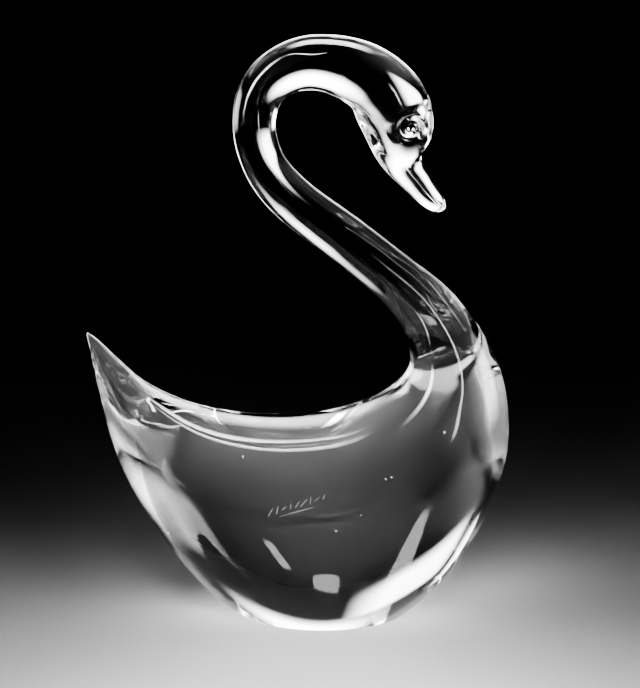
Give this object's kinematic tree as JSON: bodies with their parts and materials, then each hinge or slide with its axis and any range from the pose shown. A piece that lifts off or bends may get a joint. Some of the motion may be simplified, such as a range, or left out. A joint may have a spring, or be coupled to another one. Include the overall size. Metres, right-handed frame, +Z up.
{
  "type": "glass swan sculpture",
  "caption": "Solid clear glass swan with a raised pointed tail, an arched neck and a pulled beak. It stands on its flat polished foot as an ornament.",
  "frame": {"origin": "middle of the flat polished foot, on the surface that the swan stands on", "axes": "+Z up, +X the way the swan faces, +Y to its left; the swan is the same on both sides of the plane Y = 0"},
  "size_m": [0.217, 0.0972, 0.2994],
  "materials": {
    "clear_glass": "clear, fire polished"
  },
  "bodies": {
    "root": {"swan": "clear_glass"}
  },
  "joints": []
}
